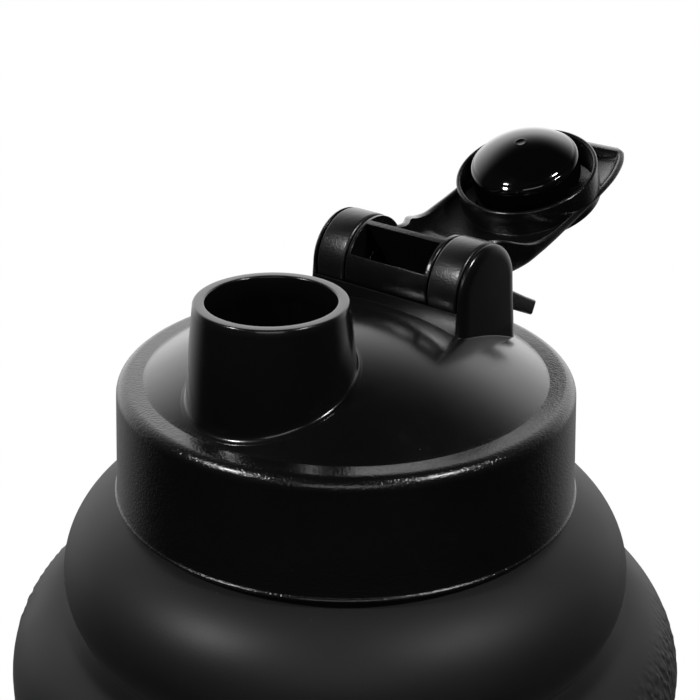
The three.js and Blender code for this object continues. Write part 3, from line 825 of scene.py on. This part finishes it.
# ---- Flip cap: modelled closed about the hinge, forward is s and up is n, then turned open ----
# Distance ahead of the axis, half width, lower edge, top and squareness of the section, in millimetres.
CAP_STATIONS = (
    (5.0, 10.5, -4.0, 9.6, 8.0),
    (9.0, 10.5, -2.6, 9.8, 8.0),
    (11.0, 10.5, -1.6, 10.1, 8.0),
    (13.0, 11.2, -0.6, 10.7, 7.0),
    (16.0, 13.0, 0.8, 12.0, 5.6),
    (21.0, 15.2, 4.8, 12.9, 4.0),
    (25.0, 15.8, 7.0, 13.3, 3.2),
    (30.0, 16.2, 8.4, 13.9, 2.6),
    (35.0, 16.3, 9.4, 14.7, 2.2),
    (40.0, 16.4, 10.2, 15.8, 1.9),
    (45.2, 16.4, 10.9, 16.6, 1.75),
    (52.0, 16.2, 11.8, 17.2, 1.75),
    (58.0, 15.5, 12.6, 17.5, 1.9),
    (64.0, 13.9, 13.3, 17.5, 2.3),
    (67.5, 12.2, 13.7, 17.5, 2.7),
    (69.5, 10.6, 13.9, 17.4, 3.0),
)

ROOT_UNDERSIDE = 2.6  # height of the cap's underside behind the barrel's pocket


def cap_at(s):
    """The four values of CAP_STATIONS at any distance ahead of the axis, on smooth curves."""
    stations = CAP_STATIONS
    k = max(0, min(len(stations) - 2, sum(s >= row[0] for row in stations) - 1))
    a, b = stations[k], stations[k + 1]
    before, after = stations[max(0, k - 1)], stations[min(len(stations) - 1, k + 2)]
    span = b[0] - a[0]
    t = min(1.0, max(0.0, (s - a[0]) / span))
    values = []
    for i in range(1, 5):
        slope_a = (b[i] - before[i]) / (b[0] - before[0]) * span
        slope_b = (after[i] - a[i]) / (after[0] - a[0]) * span
        values.append(
            (2 * t**3 - 3 * t**2 + 1) * a[i] + (t**3 - 2 * t**2 + t) * slope_a
            + (-2 * t**3 + 3 * t**2) * b[i] + (t**3 - t**2) * slope_b
        )
    return values


def arch(half, low, top, square, count):
    """Points from the right edge over the top to the left edge of one section."""
    points = []
    for i in range(count + 1):
        angle = math.pi * i / count
        c, s = math.cos(angle), math.sin(angle)
        across = half * math.copysign(abs(c) ** (2 / square), c)
        points.append((across, low + (top - low) * abs(s) ** (2 / square)))
    return points


def cap_hull(cap):
    """The cap's shell: a spoon-shaped cover with a rounded edge, solid at the root and the tip."""
    start, end = CAP_STATIONS[0][0], CAP_STATIONS[-1][0]
    stops = [start + (end - start) * i / 90 for i in range(91)]
    sections = []
    for s in stops:
        half, low, top, square = cap_at(s)
        closing = smooth_step(end - 1.4, end, s)
        half, top, low = half - 0.6 * closing, top - 0.7 * closing, low + 0.5 * closing
        hollow = 1 - smooth_step(end - 3.2, end - 2.2, s)
        ceiling = min(top - cap.top_wall, ROOT_UNDERSIDE + 0.7 * max(0.0, s - 10.0))
        inner_top = low + 0.05 + (ceiling - low - 0.05) * hollow
        wall = cap.wall * 0.8
        outer = arch(half, low + 0.45, top, square, 40)
        inner = arch(half - wall, low + 0.45 * hollow, max(inner_top, low + 0.05), max(2.0, square), 40)[::-1]
        right = [(half - wall * 0.75, low + 0.08), (half - wall * 0.5, low), (half - wall * 0.25, low + 0.08)]
        left = [(-x, n) for x, n in right[::-1]]
        section = outer + left + inner + right
        sections.append([(x, -s, n) for x, n in section])
    return loft("cap_hull", sections, 34)


def cap_barrel(hinge):
    """The cap's barrel with its thumb pocket and the bores for the stub axles."""
    half, r, round_off = hinge.barrel_half, hinge.barrel, 0.35
    outline = [
        (-half, 0), *arc((-half + round_off, r - round_off), round_off, round_off, 180, 90, 4),
        *arc((half - round_off, r - round_off), round_off, round_off, 90, 0, 4), (half, 0),
    ]
    barrel = axis_lathe("cap_barrel", outline, 128)
    pocket_half = half - 0.9
    beyond = r + 2
    pocket = [(0.3, -beyond), (0.3, 5.5, 0.6), (-6.8, 5.5, 0.6), (-6.8, -beyond)]
    relief = [(1.7, -beyond), (1.7, ROOT_UNDERSIDE, 0.8), (beyond, ROOT_UNDERSIDE), (beyond, -beyond)]
    for name, corners in (("pocket", pocket), ("relief", relief)):
        walls = rounded(corners, 0.0)
        cut(barrel, loft(name, [[(x, -s, n) for s, n in walls] for x in (-pocket_half, pocket_half)]))
    for side in (-1, 1):
        inner, outer, bore_r = pocket_half - 0.5, half + 1, hinge.axle + BORE_PLAY
        bore = [(inner, 0), (inner, bore_r), (outer, bore_r), (outer, 0)]
        tool = axis_lathe("bore", [(side * x, q) for x, q in bore], 40)
        cut(barrel, tool)
    return barrel


class SHAKER_OT_cap(Operator):
    """Builds the flip cap: barrel, spoon-shaped cover, spout ring and plug boss"""

    bl_idname = "shaker.build_cap"
    bl_label = "Flip cap"

    def execute(self, context):
        cap = millimetres(context.scene.shaker_cap)
        hinge = millimetres(context.scene.shaker_hinge)
        lid = millimetres(context.scene.shaker_lid)
        ahead = HINGE.y / MM + lid.spout_place
        rim = lid.spout_top + lid.flange - HINGE.z / MM
        outer = cap.ring + cap.ring_wall
        low, high = rim - 1.5, rim + 6.2
        ring = [
            *arc((cap.ring + cap.ring_wall / 2, low + 0.4), cap.ring_wall / 2, 0.4, 180, 360, 8),
            (outer, high), (cap.ring, high),
        ]
        ring = lathe("spout_ring", ring, 160, (0, -ahead, 0))
        boss = [(0, rim - 3.3), (cap.boss, rim - 3.3), (cap.boss, rim + 7.5), (0, rim + 7.5)]
        boss = lathe("plug_boss", boss, 64, (0, -ahead, 0))
        whole = merge("flip_cover", [cap_hull(cap), cap_barrel(hinge), ring, boss])
        turn_about_hinge(whole, -OPEN)
        finish = moulded("moulded_cap", cap.surface, cap.roughness, 0.00004, 0.0005, edges=0.0002)
        settle(whole, "flip_cap", "flip_cap", finish)
        return {"FINISHED"}


class SHAKER_OT_plug(Operator):
    """Builds the glossy plug that closes the spout"""

    bl_idname = "shaker.build_plug"
    bl_label = "Spout plug"

    def execute(self, context):
        cap = millimetres(context.scene.shaker_cap)
        lid = millimetres(context.scene.shaker_lid)
        ahead = HINGE.y / MM + lid.spout_place
        rim = lid.spout_top + lid.flange - HINGE.z / MM
        r = cap.plug
        apex, edge = rim - 9.3, r - 0.45
        drop = 4.5
        sphere = (edge**2 + drop**2) / (2 * drop)
        sweep = math.degrees(math.asin(edge / sphere))
        dome = arc((0, apex + sphere), sphere, sphere, -90, sweep - 90, 30)
        brink = apex + drop
        bend = [(edge - 0.4, brink - 0.2), (r - 0.04, brink + 0.1), (r, brink + 1.3)]
        start, middle, end = (Vector(corner) for corner in bend)
        round_edge = []
        for k in range(7):
            t = k / 6
            round_edge.append(tuple(start * (1 - t) ** 2 + middle * 2 * t * (1 - t) + end * t**2))
        plug_top, boss_bore = rim + 4.1, cap.boss + 0.3
        mark = [(0, apex + 0.1), (0.9, apex + 0.1), (1.15, apex + 0.0), (1.35, apex + 0.05)]
        outline = [
            *mark,
            *[p for p in dome if 1.5 < p[0] < edge - 0.5],
            *round_edge,
            (r, rim - 0.7),
            (r, plug_top - 0.5),
            (r - 0.5, plug_top),
            (boss_bore, plug_top),
            (boss_bore, rim - 3.6),
            (0, rim - 3.6),
        ]
        plug = lathe("stopper", outline, 160, (0, -ahead, 0), 50)
        turn_about_hinge(plug, -OPEN)
        finish = glossy("glossy_plug", cap.plug_surface, cap.plug_roughness)
        settle(plug, "spout_plug", "flip_cap", finish)
        return {"FINISHED"}


# ---- Carry loop ----
class SHAKER_OT_loop(Operator):
    """Builds the finger loop that turns on the cap's axis"""

    bl_idname = "shaker.build_loop"
    bl_label = "Finger loop"

    def execute(self, context):
        hinge = millimetres(context.scene.shaker_hinge)
        hub_in = hinge.barrel_half + hinge.gap
        hub_out = hub_in + hinge.hub_width
        r, soft = hinge.hub, 0.7
        bore = hinge.axle + BORE_PLAY
        outline = [
            (hub_in, bore),
            *arc((hub_in + soft, r - soft), soft, soft, 180, 90, 6),
            *arc((hub_out - soft, r - soft), soft, soft, 90, 0, 6),
            (hub_out, bore),
        ]
        hub = axis_lathe("hub", outline, 128)
        leg_in = hub_out - hinge.loop_leg
        reach, bar = hinge.loop_reach, hinge.loop_bar
        half_thick = 1.68
        bar_in = reach - bar
        stops = [(5.5, 1.9), (9.5, 2.0), (14.4, 1.9), (bar_in, 1.72), (reach - 0.5, half_thick), (reach, 1.3)]
        legs = []
        for t, thick in stops:
            outside = hub_out if t < reach else hub_out - 0.6
            box = [(leg_in, -thick), (outside, -thick), (outside, thick), (leg_in, thick)]
            legs.append([(x, t, n) for x, n in rounded(box, 0.6, 4)])
        leg = loft("leg", legs, 50)
        box = [(bar_in, -half_thick), (reach, -half_thick), (reach, half_thick), (bar_in, half_thick)]
        section = rounded(box, 0.6, 4)
        cross = []
        for i in range(21):
            x = (-1 + i / 10) * (leg_in + 1.2)
            cross.append([(x, t, n) for t, n in section])
        parts = [hub, mirrored(hub), leg, mirrored(leg), loft("cross_bar", cross, 50)]
        whole = merge("finger_loop", parts)
        turn_about_hinge(whole, -hinge.droop)
        finish = moulded("grained_loop", hinge.surface, hinge.roughness, 0.00004, 0.0003)
        settle(whole, "carry_loop", "carry_loop", finish)
        return {"FINISHED"}


# ---- Stage ----
class SHAKER_OT_stage(Operator):
    """Sets the pale floor, the soft studio lights and the camera"""

    bl_idname = "shaker.set_stage"
    bl_label = "Stage"

    def direction(self, azimuth, elevation):
        """Unit vector from the lid towards a bearing in degrees; 0 is ahead of the spout."""
        a, e = math.radians(azimuth), math.radians(elevation)
        return Vector((math.sin(a) * math.cos(e), -math.cos(a) * math.cos(e), math.sin(e)))

    def softbox(self, name, azimuth, elevation, distance, size, power):
        """An area light that faces the lid."""
        aim = Vector((0, 0, 0.235))
        away = self.direction(azimuth, elevation)
        light = bpy.data.lights.new(name, "AREA")
        light.shape = "RECTANGLE"
        light.size, light.size_y = size
        light.energy = power
        lamp = bpy.data.objects.new(name, light)
        bpy.context.scene.collection.objects.link(lamp)
        lamp.location = aim + away * distance
        lamp.rotation_euler = away.to_track_quat("Z", "Y").to_euler()
        return lamp

    def execute(self, context):
        stage = context.scene.shaker_stage
        toward = self.direction(CAMERA_BEARING, CAMERA_RISE)
        camera = bpy.data.objects.new("camera", bpy.data.cameras.new("camera"))
        context.scene.collection.objects.link(camera)
        camera.location = CAMERA_AIM + toward * stage.camera_distance
        facing = toward.to_track_quat("Z", "Y").to_matrix().to_4x4()
        camera.rotation_euler = (facing @ Matrix.Rotation(math.radians(CAMERA_ROLL), 4, "Z")).to_euler()
        camera.data.lens = stage.lens
        camera.data.sensor_width = 36.0
        camera.data.shift_x = 0.0051
        camera.data.clip_start = 0.01
        context.scene.camera = camera
        context.scene.view_settings.view_transform = "Standard"
        disc, thick = 205.0, -4.0
        edge = rounded([(0.01, 0.0), (disc, 0.0), (disc, thick), (0.01, thick)], 1.2)[5:-5]
        floor = lathe("floor", [(0, 0.0), *edge, (0, thick)], 160)
        floor.data.materials.append(pale_floor(stage.floor))
        back = CAMERA_BEARING + 180
        top = self.softbox("floor_light", back, 89, 1.2, (1.2, 1.2), stage.softbox)
        lit = bpy.data.collections.new("lit_floor")
        lit.objects.link(floor)
        top.light_linking.receiver_collection = lit
        self.softbox("front_fill", CAMERA_BEARING, 27, 1.1, (0.7, 0.3), stage.fill)
        self.softbox("kicker_right", CAMERA_BEARING + 55, 45, 0.8, (0.13, 0.07), stage.kicker)
        self.softbox("kicker_left", CAMERA_BEARING - 62, 40, 0.8, (0.09, 0.07), stage.kicker)
        self.sky(context.scene, math.radians(back))
        return {"FINISHED"}

    def sky(self, scene, bearing):
        """A studio that lights from low down behind the bottle, and is white wherever it is seen past it."""
        world = bpy.data.worlds.new("studio")
        scene.world = world
        world.use_nodes = True
        tree = world.node_tree

        def step(value, low, high, start, end):
            node = tree.nodes.new("ShaderNodeMapRange")
            node.interpolation_type = "SMOOTHSTEP"
            tree.links.new(value, node.inputs[0])
            for i, number in enumerate((low, high, start, end), 1):
                node.inputs[i].default_value = number
            return node.outputs["Result"]

        def joined(operation, first, second):
            node = tree.nodes.new("ShaderNodeMath")
            node.operation = operation
            tree.links.new(first, node.inputs[0])
            tree.links.new(second, node.inputs[1])
            return node.outputs[0]

        place = tree.nodes.new("ShaderNodeTexCoord").outputs["Generated"]
        facing = tree.nodes.new("ShaderNodeVectorMath")
        facing.operation = "DOT_PRODUCT"
        tree.links.new(place, facing.inputs[0])
        facing.inputs[1].default_value = (math.sin(bearing), -math.cos(bearing), 0)
        split = tree.nodes.new("ShaderNodeSeparateXYZ")
        tree.links.new(place, split.inputs[0])
        behind = step(facing.outputs["Value"], 0.2, 0.9, 0.02, 1.5)
        below_top = step(split.outputs["Z"], 0.45, 0.92, 1.0, 0.03)
        above_floor = step(split.outputs["Z"], -0.5, 0.05, 0.12, 1.0)
        glow = joined("MULTIPLY", joined("MULTIPLY", behind, below_top), above_floor)
        seen = tree.nodes.new("ShaderNodeLightPath").outputs["Is Camera Ray"]
        background = tree.nodes["Background"]
        tree.links.new(joined("MAXIMUM", glow, seen), background.inputs["Strength"])
        background.inputs["Color"].default_value = (1.0, 1.0, 1.0, 1.0)


class SHAKER_PT_panel(Panel):
    """Lists the sizes and the steps that build the bottle"""

    bl_label = "Shaker Bottle"
    bl_space_type = "VIEW_3D"
    bl_region_type = "UI"
    bl_category = "Shaker"

    def draw(self, context):
        for group, operators in STEPS:
            box = self.layout.box()
            sizes = getattr(context.scene, group)
            for name in sizes.__annotations__:
                box.prop(sizes, name)
            for operator in operators:
                box.operator(operator.bl_idname)


GROUPS = {
    "shaker_body": BodySizes,
    "shaker_lid": LidSizes,
    "shaker_hinge": HingeSizes,
    "shaker_cap": CapSizes,
    "shaker_stage": StageSettings,
}
STEPS = (
    ("shaker_body", (SHAKER_OT_body,)),
    ("shaker_lid", (SHAKER_OT_lid, SHAKER_OT_seal)),
    ("shaker_cap", (SHAKER_OT_cap, SHAKER_OT_plug)),
    ("shaker_hinge", (SHAKER_OT_loop,)),
    ("shaker_stage", (SHAKER_OT_stage,)),
)


def register():
    for group in GROUPS.values():
        bpy.utils.register_class(group)
    for _, operators in STEPS:
        for operator in operators:
            bpy.utils.register_class(operator)
    bpy.utils.register_class(SHAKER_PT_panel)
    for name, group in GROUPS.items():
        setattr(bpy.types.Scene, name, PointerProperty(type=group))


def unregister():
    for name in GROUPS:
        delattr(bpy.types.Scene, name)
    bpy.utils.unregister_class(SHAKER_PT_panel)
    for _, operators in reversed(STEPS):
        for operator in reversed(operators):
            bpy.utils.unregister_class(operator)
    for group in reversed(GROUPS.values()):
        bpy.utils.unregister_class(group)


def main():
    register()
    bpy.ops.shaker.build_body()
    bpy.ops.shaker.build_lid()
    bpy.ops.shaker.finish_seal()
    bpy.ops.shaker.build_cap()
    bpy.ops.shaker.build_plug()
    bpy.ops.shaker.build_loop()
    bpy.ops.shaker.set_stage()


if __name__ == "__main__":
    main()
